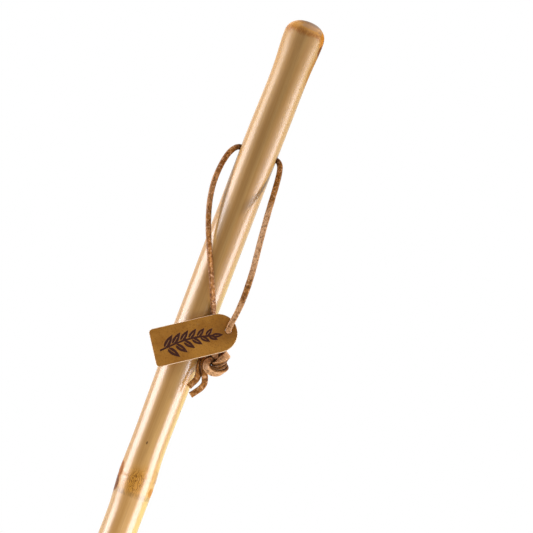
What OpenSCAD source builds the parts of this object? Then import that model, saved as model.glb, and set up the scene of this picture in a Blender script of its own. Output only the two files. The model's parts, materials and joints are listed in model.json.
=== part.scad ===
// Bamboo hiking staff with a leather wrist lace, a leather tag and a rubber tip.
// It stands along +Z with the middle of its sole at the origin. The lace bore runs along X,
// and the side that is seen first faces -Y.

/* [Cane] */
// Length of the whole staff, from the sole of the tip to the top of the crown
staff_l = 1397; // [1200:1:1600]
// Radius of the cane at the lace bore
cane_r = 14; // [13.6:0.1:14.2]
// Radius of the cane above its tip, to which it tapers
cane_foot_r = 12.9; // [12.8:0.1:14]
// Rise of a joint's ridge above the cane midway between two joints
ridge_out = 0.4; // [0.2:0.1:1.2]
// Spread of a joint's ridge along the cane
ridge_l = 18; // [8:0.5:24]
// Draw of the cane beside its joints
waist_in = 0.7; // [0.2:0.1:1.2]
// Reach of that draw on each side of a joint
waist_reach = 90; // [60:1:100]
// Rise of the flared joint under the crown
flare_out = 0.9; // [0.4:0.1:1.6]
// Spread of the flared joint
flare_l = 18; // [10:1:25]
// Distance of the flared joint below the top
flare_drop = 14; // [13.5:0.5:22]
// Height of the rounded crown
crown_h = 12; // [6:0.5:13]

/* [Lace bore] */
// Distance of the lace bore below the top
bore_drop = 102.5; // [60:0.5:160]
// Radius of the lace bore
bore_r = 3.1; // [2.9:0.1:4]

/* [Rubber tip] */
// Height of the tip
tip_h = 52; // [44:1:58]
// Thickness of rubber under the washer
sole_t = 13; // [9:0.5:18]
// Radius of the sole
sole_r = 20.5; // [18.5:0.5:26]
// Height of the sole's upright rim
sole_rim_h = 6; // [4:0.5:8]
// Height of the hollow curve from the rim to the barrel
bell_h = 12; // [8:1:16]
// Radius of the barrel
barrel_r = 16; // [14.5:0.1:17]
// Height of the bead around the mouth
bead_h = 6; // [4:0.5:8]
// Rise of the bead and of the grip rings above the barrel
bead_out = 1.1; // [0.4:0.1:1.4]
// Width of one grip ring
ring_w = 2; // [1:0.1:2.6]
// Number of grip rings
rings = 3; // [1:1:3]
// Width of one groove in the sole
groove_w = 2; // [1:0.1:2.4]
// Depth of the sole's grooves
groove_d = 1.6; // [0.8:0.1:3]
// Number of grooves in the sole
grooves = 3; // [1:1:3]
// Radius of the cane's turned end inside the tip
seat_r = 12.7; // [12:0.1:13]
// Gap between the turned end and the socket
seat_gap = 0.05; // [0.02:0.01:0.1]
// Gap around the steel washer in the socket
washer_gap = 0.7; // [0.4:0.1:2]
// Radius of the washer's hole
washer_hole_r = 4; // [2:0.5:6]
// Thickness of the washer
washer_t = 1.6; // [1:0.1:2.4]

/* [Leather tag] */
// Length of the tag
tag_l = 62.5; // [50:0.5:70]
// Width of the tag
tag_w = 28.2; // [22:0.2:30]
// Thickness of the tag
tag_t = 2.4; // [1.6:0.1:2.6]
// Radius of the two corners at the square end
tag_corner_r = 3; // [1:0.5:6]
// Distance of the tag's hole from its round end
tag_hole_in = 6.5; // [5.5:0.1:9]
// Radius of the tag's hole
tag_hole_r = 2.7; // [2.6:0.1:3.4]
// Slope of the tag, falling away from its hole
tag_slope = 34; // [30:1:45]
// Lean of the tag, lower edge forward
tag_lean = 8; // [6:0.5:10]

/* [Leather lace] */
// Width of the lace
lace_w = 4.4; // [3.6:0.1:4.6]
// Thickness of the lace
lace_t = 2.2; // [1.6:0.1:2.3]
// Bevel along the lace's edges
lace_bevel = 0.6; // [0.2:0.1:0.7]
// Width of the lace where the knot or the tag's hole squeezes it
tight_w = 3.8; // [2.8:0.1:3.8]
// Thickness of the lace where it is squeezed
tight_t = 2; // [1.5:0.1:2]
// Gap between the two strands of the knot
strand_gap = 0.5; // [0.45:0.05:0.6]

/* [Hidden] */
$fn = 96;

// Cane: the joints below the crown, as shares of the staff's length, lowest first
joint_shares = [0.14, 0.3, 0.515, 0.746];
joints_z = [for (share = joint_shares) share * staff_l];
flare_z = staff_l - flare_drop;
bore_z = staff_l - bore_drop;
foot_z = sole_t + washer_t;
// Steps of the outline from a joint to the end of its reach
joint_steps = 12;
// Steps of the crown, and the power that makes it a little fuller than an ellipse
crown_steps = 10;
crown_power = 2.2;
// Bevel at the foot of the cane, its bare end above the tip, and the taper to the full radius
foot_bevel = 1;
seat_over = 2;
taper_l = 10;

// Tip: bevel of its outer edges, steps of its hollow curve, and the overrun of its cuts
tip_edge = 0.8;
bell_steps = 8;
cut_over = 1;
socket_r = seat_r + seat_gap;
washer_r = seat_r - washer_gap;

// Knot: a doubled overhand knot, wound on a ring whose axis runs front to back before it is tilted.
// Its place from the middle of the lace bore, the radius of the ring and of the winding on it,
// the depth of the winding, how far the ends part and over what turn, and the tilt and its axis
knot_at = [24.6, -11, -152.8];
knot_ring_r = 6.2;
knot_wind_r = 2.7;
knot_wind_d = 3;
knot_end_part = 2.6;
knot_end_turn = 35;
knot_tilt = -45;
knot_tilt_axis = [sin(39.3), 0, cos(39.3)];
knot_turn = 360;
knot_rings = 60;
knot_off = (tight_t + strand_gap) / 2;
// Rings this far apart along a strand count as separate turns of the knot
knot_apart = 8;

// Lace: half of the run inside the bore, short of the mouths, and the turn of its flat there
run_half = 13;
bore_turn = 45;
// Routes from the middle of the lace bore. Each row holds a place, the turn of the flat of the lace
// out of the depth, and the share of the squeeze that the lace is under there.
left_route = [
    [[-16.4, -0.2, -1.2], 47, 0],
    [[-19.6, -0.7, -5.6], 48, 0],
    [[-21.7, -1.5, -12.6], 48, 0],
    [[-22.8, -2.6, -21], 47, 0],
    [[-22.9, -4.2, -31], 46, 0],
    [[-21, -7, -43.8], 45, 0],
    [[-17.8, -9.9, -55], 44, 0],
    [[-14.1, -12.4, -65], 43, 0],
    [[-9.5, -14.9, -75.5], 42, 0],
    [[-4.2, -16.6, -87], 42, 0],
    [[1, -16.8, -98], 43, 0],
    [[5.9, -15.9, -109], 45, 0],
    [[10, -12.9, -119], 50, 0],
    [[13.5, -10, -129.5], 48, 0.3],
    [[15.8, -6, -138.5], 44, 0.7],
    [[17.5, -2.2, -145], 40, 1],
    [[18.1, -1, -149.8], 38, 1]];
right_route = [
    [[15.8, -0.1, -0.8], 133, 0],
    [[17.8, -0.7, -3.2], 130, 0],
    [[19, -1.7, -7], 128, 0],
    [[19.9, -3.6, -13], 126, 0],
    [[20.8, -7.6, -23], 124, 0],
    [[21.7, -12.6, -35], 122, 0],
    [[22.6, -16.2, -46], 120, 0],
    [[23.9, -18.8, -59], 118, 0],
    [[25.3, -20.2, -71.5], 114, 0],
    [[26.4, -21, -82], 110, 0],
    [[27, -21.5, -93], 105, 0],
    [[27.1, -21.9, -103], 100, 0.2],
    [[26.6, -22.2, -112], 95, 0.5],
    [[25.7, -22.3, -119.5], 92, 0.8],
    [[25.2, -21.9, -124], 90, 1],
    [[25.1, -20.9, -126.9], 90, 1],
    [[25.1, -18.6, -128], 90, 1],
    [[25.1, -16, -128.8], 90, 1],
    [[24.9, -13.6, -130.8], 88, 1],
    [[24.1, -11.4, -134.6], 75, 1],
    [[23.3, -7, -140], 58, 1],
    [[22, -3.4, -145.4], 44, 1],
    [[20.7, -2.2, -150], 40, 1]];
short_tail_route = [
    [[14.3, -9.4, -157.6], 42, 1],
    [[15.2, -11, -162], 55, 0.6],
    [[16, -12, -165.5], 68, 0.2],
    [[15.8, -12.6, -169], 78, 0],
    [[14.2, -13, -172.6], 82, 0],
    [[12.6, -13.4, -176], 85, 0]];
long_tail_route = [
    [[16.6, -10.8, -157.4], 42, 1],
    [[18.6, -12.2, -161.6], 55, 0.6],
    [[21, -12.8, -165.4], 68, 0.2],
    [[22.3, -13, -169.6], 78, 0],
    [[21.2, -13, -173.6], 82, 0],
    [[18.6, -13, -177.6], 85, 0],
    [[15.9, -13, -181.2], 85, 0]];
// The row of the right leg's route that lies in the tag's hole
tag_row = 16;

// Cane
function total(list) = [for (item = list) 1] * list;
function dip(d) = abs(d) < waist_reach ? (1 + cos(180 * d / waist_reach)) / 2 : 0;
function swell(d, spread) = exp(-pow(d / spread, 2));
function joint_form(d, rise, spread) = (rise + waist_in) * swell(d, spread) - waist_in * dip(d);
function cane_at(z) = mix(cane_foot_r, cane_r, (z - tip_h) / (bore_z - tip_h))
    + joint_form(z - flare_z, flare_out, flare_l)
    + total([for (joint = joints_z) joint_form(z - joint, ridge_out, ridge_l)]);
// Outline points about a joint, closer together towards its ridge
function joint_points(joint, first, last) = [for (k = [first : last])
    let (z = joint + sign(k) * pow(k / joint_steps, 2) * waist_reach) [cane_at(z), z]];
function crown_points() = let (base_z = staff_l - crown_h, base_r = cane_at(base_z))
    [for (k = [0 : crown_steps]) let (a = 90 * k / crown_steps)
        [base_r * pow(cos(a), 2 / crown_power), base_z + crown_h * pow(sin(a), 2 / crown_power)]];

module bamboo_shaft() {
    outline = concat(
        [[0, foot_z], [seat_r - foot_bevel, foot_z], [seat_r, foot_z + foot_bevel],
            [seat_r, tip_h + seat_over], [cane_at(tip_h + seat_over + taper_l), tip_h + seat_over + taper_l]],
        [for (joint = joints_z) each joint_points(joint, -joint_steps, joint_steps)],
        joint_points(flare_z, -joint_steps, 0),
        crown_points());
    color("tan") difference() {
        rotate_extrude() polygon(outline);
        translate([0, 0, bore_z]) rotate([0, 90, 0])
            cylinder(r = bore_r, h = 2 * (cane_r + flare_out + cut_over), center = true);
    }
}

// Tip
module rubber_tip() {
    bell = [for (k = [0 : bell_steps]) let (a = 90 * k / bell_steps)
        [sole_r - (sole_r - barrel_r) * sin(a), sole_rim_h + bell_h * (1 - cos(a))]];
    bead_r = barrel_r + bead_out;
    outline = concat(
        [[0, 0], [sole_r - tip_edge, 0], [sole_r, tip_edge]],
        bell,
        [[barrel_r, tip_h - bead_h], [bead_r, tip_h - bead_h + bead_out], [bead_r, tip_h - tip_edge],
            [bead_r - tip_edge, tip_h], [0, tip_h]]);
    barrel_z = sole_rim_h + bell_h;
    ring_step = (tip_h - bead_h - barrel_z) / (rings + 1);
    groove_step = (sole_r - tip_edge) / (grooves + 1);
    color("dimgray") difference() {
        union() {
            rotate_extrude() polygon(outline);
            for (k = [1 : rings])
                translate([0, 0, barrel_z + k * ring_step - ring_w / 2])
                    cylinder(r = bead_r, h = ring_w);
        }
        translate([0, 0, sole_t]) cylinder(r = socket_r, h = tip_h - sole_t + cut_over);
        for (k = [1 : grooves])
            translate([0, 0, -cut_over]) difference() {
                cylinder(r = k * groove_step + groove_w / 2, h = groove_d + cut_over);
                translate([0, 0, -cut_over])
                    cylinder(r = k * groove_step - groove_w / 2, h = groove_d + 3 * cut_over);
            }
    }
}

module tip_washer() {
    color("silver") translate([0, 0, sole_t]) difference() {
        cylinder(r = washer_r, h = washer_t);
        translate([0, 0, -cut_over]) cylinder(r = washer_hole_r, h = washer_t + 2 * cut_over);
    }
}

// Lace
function unit(v) = v / norm(v);
function mix(a, b, share) = a + (b - a) * share;
// Outline of a flat lace with bevelled edges, by width and thickness
function strip(w, t) = let (x = w / 2, y = t / 2, b = lace_bevel)
    [[x, y - b], [x - b, y], [b - x, y], [-x, y - b], [-x, b - y], [b - x, -y], [x - b, -y], [x, b - y]];
strip_sides = len(strip(lace_w, lace_t));
// The outline set across a heading, with its width along one direction
function ring(centre, ahead, across, w, t) = let (through = cross(across, ahead))
    [for (p = strip(w, t)) centre + p[0] * across + p[1] * through];
function heading(places, i) =
    unit(places[min(i + 1, len(places) - 1)] - places[max(i - 1, 0)]);
// Rings along a route. The places before and after it steer the first and the last heading.
function route_rings(route, before = [], after = []) =
    let (places = concat(before, [for (row = route) row[0]], after), first = len(before))
    [for (i = [0 : len(route) - 1])
        let (ahead = heading(places, first + i),
            depth = unit([0, 1, 0] - ahead * ahead[1]),
            across = cos(route[i][1]) * depth + sin(route[i][1]) * cross(ahead, depth),
            tight = route[i][2])
        ring(places[first + i], ahead, across, mix(lace_w, tight_w, tight), mix(lace_t, tight_t, tight))];

// Knot: its middle line, heading and outward direction at a turn, and a ring of one strand
function tilted(v) = let (axis = knot_tilt_axis, along = axis * v)
    v * cos(knot_tilt) + cross(axis, v) * sin(knot_tilt) + axis * along * (1 - cos(knot_tilt));
function knot_part(turn) = turn < knot_end_turn ? pow(1 - turn / knot_end_turn, 2)
    : turn > knot_turn - knot_end_turn ? -pow(1 - (knot_turn - turn) / knot_end_turn, 2) : 0;
function knot_mid(turn) = let (around = 2 * turn + 180, out = knot_ring_r + knot_wind_r * cos(3 * turn))
    knot_at + tilted([out * cos(around), knot_wind_d * sin(3 * turn) + knot_end_part * knot_part(turn),
        out * sin(around)]);
function knot_ring(turn, side) =
    let (near = knot_turn / knot_rings / 4, around = 2 * turn + 180,
        ahead = unit(knot_mid(min(turn + near, knot_turn)) - knot_mid(max(turn - near, 0))),
        outward = tilted([cos(3 * turn) * cos(around), sin(3 * turn), cos(3 * turn) * sin(around)]),
        through = unit(outward - ahead * (ahead * outward)))
    ring(knot_mid(turn) + side * knot_off * through, ahead, cross(ahead, through), tight_w, tight_t);
function knot_strand(side) = [for (k = [0 : knot_rings]) knot_ring(k * knot_turn / knot_rings, side)];
function middle(points) = total(points) / len(points);
// The outer strand lies on the side of the cane
outer = 1;
inner = -1;
outer_start = knot_ring(0, outer);
inner_start = knot_ring(0, inner);
outer_end = knot_ring(knot_turn, outer);
inner_end = knot_ring(knot_turn, inner);

// A closed solid over a row of rings
module swept(rings) {
    n = strip_sides;
    last = (len(rings) - 1) * n;
    walls = [for (i = [0 : len(rings) - 2]) for (k = [0 : n - 1])
        let (a = i * n + k, b = i * n + (k + 1) % n) each [[a, b, b + n], [a, b + n, a + n]]];
    caps = [for (k = [1 : n - 2]) each [[0, k + 1, k], [last, last + k, last + k + 1]]];
    polyhedron([for (r = rings) each r], concat(walls, caps));
}

module lace(rings) {
    color("sienna") translate([0, 0, bore_z]) swept(rings);
}

// A ring at one end of the run in the bore, for a lace that goes towards +X or -X there
function bore_ring(end, way) = ring([end * run_half, 0, 0], [way, 0, 0],
    way * [0, -cos(bore_turn), sin(bore_turn)], lace_w, lace_t);

// A leg from one end of the run in the bore, along its route, to its strand of the knot
function leg_rings(end, route, start) = concat([bore_ring(end, end)],
    route_rings(route, [middle(bore_ring(end, end))], [middle(start)]), [start]);

module lace_bore_run() {
    lace([bore_ring(-1, 1), bore_ring(1, 1)]);
}

module lace_left_leg() {
    lace(leg_rings(-1, left_route, outer_start));
}

module lace_right_leg() {
    lace(leg_rings(1, right_route, inner_start));
}

// Least gap between points of two strands, leaving out rings that are close along one strand
function least_gap(a, b, apart) = min([for (i = [0 : len(a) - 1]) for (j = [0 : len(b) - 1])
    if (abs(i - j) >= apart) for (p = a[i]) for (q = b[j]) norm(p - q)]);

module lace_knot() {
    outer_strand = knot_strand(outer);
    inner_strand = knot_strand(inner);
    echo("least gap of the knot to itself, mm", min(least_gap(outer_strand, outer_strand, knot_apart),
        least_gap(inner_strand, inner_strand, knot_apart), least_gap(outer_strand, inner_strand, 0)));
    lace(outer_strand);
    lace(inner_strand);
}

module lace_short_tail() {
    lace(concat([outer_end], route_rings(short_tail_route, [middle(outer_end)])));
}

module lace_long_tail() {
    lace(concat([inner_end], route_rings(long_tail_route, [middle(inner_end)])));
}

// Tag
module leather_tag() {
    half_w = tag_w / 2;
    square_x = tag_hole_in - tag_l;
    round_x = tag_hole_in - half_w;
    corner_x = square_x + tag_corner_r;
    corner_y = half_w - tag_corner_r;
    color("peru") translate([0, 0, bore_z] + right_route[tag_row][0])
        rotate([90 - tag_lean, -tag_slope, 0])
            translate([0, 0, -tag_t / 2]) difference() {
                union() {
                    translate([round_x, 0, 0]) cylinder(r = half_w, h = tag_t);
                    translate([corner_x, -half_w, 0]) cube([round_x - corner_x, tag_w, tag_t]);
                    translate([square_x, -corner_y, 0]) cube([round_x - square_x, 2 * corner_y, tag_t]);
                    for (y = [-corner_y, corner_y])
                        translate([corner_x, y, 0]) cylinder(r = tag_corner_r, h = tag_t);
                }
                translate([0, 0, -cut_over]) cylinder(r = tag_hole_r, h = tag_t + 2 * cut_over);
            }
}

bamboo_shaft();
rubber_tip();
tip_washer();
lace_bore_run();
lace_left_leg();
lace_right_leg();
lace_knot();
lace_short_tail();
lace_long_tail();
leather_tag();
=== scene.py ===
"""Looks of a bamboo hiking staff with a leather wrist lace, a stamped leather tag and a rubber tip."""
import json
import math

import bpy
import numpy as np
from mathutils import Matrix, Vector, noise


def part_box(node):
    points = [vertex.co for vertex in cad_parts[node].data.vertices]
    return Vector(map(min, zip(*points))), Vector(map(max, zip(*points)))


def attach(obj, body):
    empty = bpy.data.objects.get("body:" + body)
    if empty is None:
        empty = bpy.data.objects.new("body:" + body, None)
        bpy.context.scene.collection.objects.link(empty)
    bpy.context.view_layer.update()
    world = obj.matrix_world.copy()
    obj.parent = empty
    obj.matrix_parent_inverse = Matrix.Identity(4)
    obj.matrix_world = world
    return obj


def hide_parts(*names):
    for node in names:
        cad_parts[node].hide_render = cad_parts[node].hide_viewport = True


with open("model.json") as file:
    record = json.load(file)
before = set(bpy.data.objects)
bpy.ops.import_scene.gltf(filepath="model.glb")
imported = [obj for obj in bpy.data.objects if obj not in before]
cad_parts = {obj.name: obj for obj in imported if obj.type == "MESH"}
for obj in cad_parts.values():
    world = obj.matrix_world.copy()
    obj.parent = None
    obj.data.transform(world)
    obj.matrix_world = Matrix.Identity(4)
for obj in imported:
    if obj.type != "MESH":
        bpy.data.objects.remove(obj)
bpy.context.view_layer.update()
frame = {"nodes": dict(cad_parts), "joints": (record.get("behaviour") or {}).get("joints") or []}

# Sizes below are in millimetres, and the frame is in metres
MM = 0.001
JOINTS = {joint["name"]: joint for joint in frame["joints"]}
BORE = np.array(JOINTS["strap_swing"]["pos_m"]) / MM
TAG_HOLE = np.array(JOINTS["tag_swing"]["pos_m"]) / MM
TAG_NORMAL = np.array(JOINTS["tag_swing"]["axis"])
STAFF_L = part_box("bamboo_shaft")[1].z / MM
FOOT_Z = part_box("bamboo_shaft")[0].z / MM
TIP_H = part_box("rubber_tip")[1].z / MM
UP = np.array([0.0, 0.0, 1.0])
BACK = np.array([0.0, 1.0, 0.0])

# Camera: the picture is square, and the staff leans in it
PICTURE_PX = 533
PICTURE_W = 387.5
HOLE_PX = (258.5, 153.5)
STAFF_LEAN = math.radians(20.7)
CAMERA_AWAY = 2200.0
SENSOR = 36.0
SIGHT_M = 20

# Cane: the same form as the solid's
CANE_R = 14.0
CANE_FOOT_R = 12.9
JOINT_SHARES = (0.14, 0.3, 0.515, 0.746)
JOINTS_Z = [share * STAFF_L for share in JOINT_SHARES]
RIDGE_OUT = 0.4
RIDGE_L = 18.0
WAIST_IN = 0.7
WAIST_REACH = 90.0
FLARE_OUT = 0.9
FLARE_L = 18.0
FLARE_DROP = 14.0
FLARE_Z = STAFF_L - FLARE_DROP
CROWN_H = 12.0
CROWN_Z = STAFF_L - CROWN_H
CROWN_POWER = 2.2
SEAT_R = 12.7
SEAT_OVER = 2.0
TAPER_L = 10.0
FOOT_BEVEL = 1.0
BORE_R = 3.1
# Finer than the solid: a joint's scar and lip, a slowly turning oval section, wobbles, and the cane's sway
SCAR_IN = 0.09
SCAR_W = 0.9
LIP_OUT = 0.08
LIP_RISE = 2.4
LIP_W = 1.3
OVAL_SHARE = 0.006
OVAL_TURN_L = 260
WOBBLE = 0.07
WOBBLE_L = 45
WOBBLE_RATE = 3
SWAYS = ((0.0, 0.0), (0.7, 0.3), (-0.5, -0.6), (1.7, 0.3), (0.0, 0.0))
SWAY_DROP = 3.0
SWAY_L = 28.0
TOP_SWAY = 1.05
TOP_SWAY_Z = (1270.0, 1372.0)
CANE_SIDES = 144
CANE_SHARP = math.radians(40)
CROWN_STEPS = 22
# Steps between the rows of the cane, by the distance from a joint, and the step elsewhere
FINE_STEPS = ((6, 0.6), (22, 1.2))
PLAIN_STEP = 2.5
# A place has the marks of the joint that is nearest to the point this far below it
MARKS_RISE = 8

# Holes
DRILL_SIDES = 64
DRILL_DEPTHS = 4

# Lace: the same routes as the solids', from the middle of the lace bore.
# Each row holds a place, the turn of the flat of the lace out of the depth, and its share of squeeze.
LACE_W = 4.4
LACE_T = 2.2
TIGHT_W = 4.1
TIGHT_T = 2.4
KNOT_PLUMP = 1.5
PLUMP_RINGS = 25
BUNCH_W = 4.4
BUNCH_REACH = 2.6
BUNCH_POWER = 2.1
BUNCH_FALL = 4
KNOT_T = 2.0
STRAND_GAP = 0.5
LEFT_ROUTE = (
    (-16.4, -0.2, -1.2, 47, 0),
    (-19.6, -0.7, -5.6, 48, 0),
    (-21.7, -1.5, -12.6, 48, 0),
    (-22.8, -2.6, -21, 47, 0),
    (-22.9, -4.2, -31, 46, 0),
    (-21, -7, -43.8, 45, 0),
    (-17.8, -9.9, -55, 44, 0),
    (-14.1, -12.4, -65, 43, 0),
    (-9.5, -14.9, -75.5, 42, 0),
    (-4.2, -16.6, -87, 42, 0),
    (1, -16.8, -98, 43, 0),
    (5.9, -15.9, -109, 45, 0),
    (10, -12.9, -119, 50, 0),
    (13.5, -10, -129.5, 48, 0.3),
    (15.8, -6, -138.5, 44, 0.7),
    (17.5, -2.2, -145, 40, 1),
    (18.1, -1, -149.8, 38, 1))
RIGHT_ROUTE = (
    (15.8, -0.1, -0.8, 133, 0),
    (17.8, -0.7, -3.2, 130, 0),
    (19, -1.7, -7, 128, 0),
    (19.9, -3.6, -13, 126, 0),
    (20.8, -7.6, -23, 124, 0),
    (21.7, -12.6, -35, 122, 0),
    (22.6, -16.2, -46, 120, 0),
    (23.9, -18.8, -59, 118, 0),
    (25.3, -20.2, -71.5, 114, 0),
    (26.4, -21, -82, 110, 0),
    (27, -21.5, -93, 105, 0),
    (27.1, -21.9, -103, 100, 0.2),
    (26.6, -22.2, -112, 95, 0.5),
    (25.7, -22.3, -119.5, 92, 0.8),
    (25.2, -21.9, -124, 90, 1),
    (25.1, -20.9, -126.9, 90, 1),
    (25.1, -18.6, -128, 90, 1),
    (25.1, -16, -128.8, 90, 1),
    (24.9, -13.6, -130.8, 88, 1),
    (24.1, -11.4, -134.6, 75, 1),
    (23.3, -7, -140, 58, 1),
    (22, -3.4, -145.4, 44, 1),
    (20.7, -2.2, -150, 40, 1))
SHORT_TAIL_ROUTE = (
    (14.3, -9.4, -157.6, 42, 1),
    (15.2, -11, -162, 55, 0.6),
    (16, -12, -165.5, 68, 0.2),
    (15.8, -12.6, -169, 78, 0),
    (14.2, -13, -172.6, 82, 0),
    (12.6, -13.4, -176, 85, 0))
LONG_TAIL_ROUTE = (
    (16.6, -10.8, -157.4, 42, 1),
    (18.6, -12.2, -161.6, 55, 0.6),
    (21, -12.8, -165.4, 68, 0.2),
    (22.3, -13, -169.6, 78, 0),
    (21.2, -13, -173.6, 82, 0),
    (18.6, -13, -177.6, 85, 0),
    (15.9, -13, -181.2, 85, 0))
# Each leg starts in the middle of the bore and runs straight out of it
BORE_TURN = 45
BORE_PLACES = (0, 8, 13)
LEFTWARD = -1
RIGHTWARD = 1
LACE_SIDES = 28
LACE_POWER = 4.5
LACE_STEP = 0.9
LACE_SHARP = math.radians(60)
# Unevenness of width and thickness: a share, waves by the millimetre, and the distance of the seeds
LACE_UNEVEN = 0.06
WIDTH_RATE = 0.22
THICK_RATE = 0.5
WIDTH_SEED = 10
THICK_SEED = 20
# Rubbed lengths of the legs, as drops below the bore and a share, and how softly they end
LEFT_WORN = ((24, 48, 0.35),)
RIGHT_WORN = ((34, 86, 0.95), (106, 130, 0.8))
WORN_BLEND = 6
# The flesh side begins at these heights on the lace's section, and the knot shows this share of it
FLESH_FACE = (0.2, 0.6)
KNOT_FLESH_SHARE = 0.85
# Marks of the middles of a strand's two ends
CAP_EDGES = (0.5, 0.5)
CAP_NONE = (0, 0)
# Rings this far apart along a strand count as separate turns of the knot. Leather closer than these
# distances to another turn, or to the cane, gets a painted shade, darker where shade falls between them.
TURN_APART = 34
TURN_FAR = 4.2
TURN_NEAR = 2.2
CANE_FAR = 5.0
CANE_NEAR = 0.5
CANE_SHADE_SHARE = 0.7

# Knot: a doubled overhand knot, by the same formula as the solid's
KNOT_AT = np.array([24.6, -11.0, -152.8])
KNOT_RING_R = 6.2
KNOT_WIND_R = 2.7
KNOT_WIND_D = 3.0
KNOT_END_PART = 2.6
KNOT_END_TURN = 35.0
KNOT_TURN = 360.0
KNOT_START = 180.0
KNOT_ROUNDS = 2
KNOT_WINDS = 3
KNOT_TILT = math.radians(-45)
KNOT_TILT_AXIS = (math.sin(math.radians(39.3)), 0.0, math.cos(math.radians(39.3)))
KNOT_STEPS = 260
# Legs and tails are steered by the place this many steps into the knot
KNOT_LEAD = 6
OUTER = 1
INNER = -1

# Tag
TAG_L = 62.5
TAG_W = 28.2
TAG_T = 2.4
TAG_CORNER_R = 3.0
TAG_HOLE_IN = 6.5
TAG_HOLE_R = 2.4
TAG_SLOPE = math.radians(34)
TAG_EDGE_R = 0.5
TAG_GRID = 0.25
TAG_CROWD_SHARE = 0.25
TAG_SHARP = math.radians(55)
STAMP_DEPTH = 0.28

# Sprig on the tag, in places along the tag from its hole: the stem is one wave, and each pair of leaves is
# smaller and lies flatter than the pair before it
STEM_ENDS = (-51, -11)
STEM_WAVE_START = -46
STEM_WAVE_L = 38
STEM_WAVE_H = 2.4
STEM_DROP = 1.6
STEM_EDGE = (0.75, 0.5)
LEAF_PAIRS = 6
LEAF_FIRST = -47.5
LEAF_APART = 6.2
LEAF_STAGGER = 2
LEAF_L = 11.5
LEAF_L_LOSS = 0.8
LEAF_W = 4.4
LEAF_W_LOSS = 0.2
LEAF_TURN = 48
LEAF_TURN_LOSS = 2
LEAF_POINT_POWER = 0.75
LEAF_ROUND_POWER = 0.9
LEAF_EDGE = (-0.12, 0.18)
END_LEAF_AT = -12.5
END_LEAF_TURN = math.radians(-8)
END_LEAF_L = 8.5
END_LEAF_W = 3.4
# Half of the bare midrib's width, and the shares of the leaf over which it begins and ends
MIDRIB_HALF = (0.1, 0.32)
MIDRIB_START_SHARES = (0, 0.2)
MIDRIB_END_SHARES = (0.55, 0.75)


def unit(vectors):
    """Vectors of length one, by row."""
    return vectors / np.linalg.norm(vectors, axis=-1, keepdims=True)


def smooth(low, high, value):
    """0 below low, 1 above high, and a smooth step between."""
    share = np.clip((value - low) / (high - low), 0, 1)
    return share * share * (3 - 2 * share)


def circle(sides):
    """Angles around a circle."""
    return np.linspace(0, 2 * math.pi, sides, endpoint=False)


def new_piece(name, vertices, faces):
    """A smooth mesh object from points in millimetres."""
    mesh = bpy.data.meshes.new(name)
    mesh.from_pydata((np.asarray(vertices) * MM).tolist(), [], faces)
    mesh.polygons.foreach_set("use_smooth", [True] * len(mesh.polygons))
    mesh.update()
    piece = bpy.data.objects.new(name, mesh)
    bpy.context.scene.collection.objects.link(piece)
    return piece


def set_attribute(piece, name, values):
    """A number for each vertex, for the materials to read."""
    layer = piece.data.attributes.new(name, "FLOAT", "POINT")
    layer.data.foreach_set("value", np.asarray(values, np.float32))


def tube_faces(rings, sides):
    """Quads between the rings of a tube, then a fan at each end about two last vertices."""
    first_cap = rings * sides
    faces = []
    for ring in range(rings - 1):
        for side in range(sides):
            a = ring * sides + side
            b = ring * sides + (side + 1) % sides
            faces.append((a, b, b + sides, a + sides))
    for side in range(sides):
        after = (side + 1) % sides
        faces.append((first_cap, after, side))
        faces.append((first_cap + 1, (rings - 1) * sides + side, (rings - 1) * sides + after))
    return faces


def drill(piece, centre, axis, radius, depth):
    """Cuts a round hole through a piece."""
    turn = circle(DRILL_SIDES)
    spin = Vector(axis).to_track_quat("Z", "Y").to_matrix()
    flat = np.stack([radius * np.cos(turn), radius * np.sin(turn), 0 * turn], 1)
    half = UP * depth / 2
    ends = np.vstack([flat - half, flat + half, [-half], [half]])
    cutter = new_piece("cutter", ends @ np.array(spin).T + centre, tube_faces(2, DRILL_SIDES))
    cut = piece.modifiers.new("hole", "BOOLEAN")
    cut.operation = "DIFFERENCE"
    cut.solver = "EXACT"
    cut.object = cutter
    drilled = bpy.data.meshes.new_from_object(piece.evaluated_get(bpy.context.evaluated_depsgraph_get()))
    piece.modifiers.clear()
    piece.data = drilled
    bpy.data.objects.remove(cutter)


# Camera
def make_camera():
    """A level camera in front of the staff, rolled so that the staff leans as in the picture."""
    across = np.array([math.cos(STAFF_LEAN), 0, math.sin(STAFF_LEAN)])
    upward = np.array([-math.sin(STAFF_LEAN), 0, math.cos(STAFF_LEAN)])
    px = PICTURE_W / PICTURE_PX
    middle = PICTURE_PX / 2
    target = BORE + across * (middle - HOLE_PX[0]) * px - upward * (middle - HOLE_PX[1]) * px
    camera = bpy.data.cameras.new("camera")
    camera.sensor_width = SENSOR
    camera.lens = SENSOR * CAMERA_AWAY / PICTURE_W
    camera.clip_end = SIGHT_M
    made = bpy.data.objects.new("camera", camera)
    bpy.context.scene.collection.objects.link(made)
    place = Matrix(np.stack([across, upward, -BACK], 1).tolist()).to_4x4()
    place.translation = (target - BACK * CAMERA_AWAY) * MM
    made.matrix_world = place
    bpy.context.scene.camera = made


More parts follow.
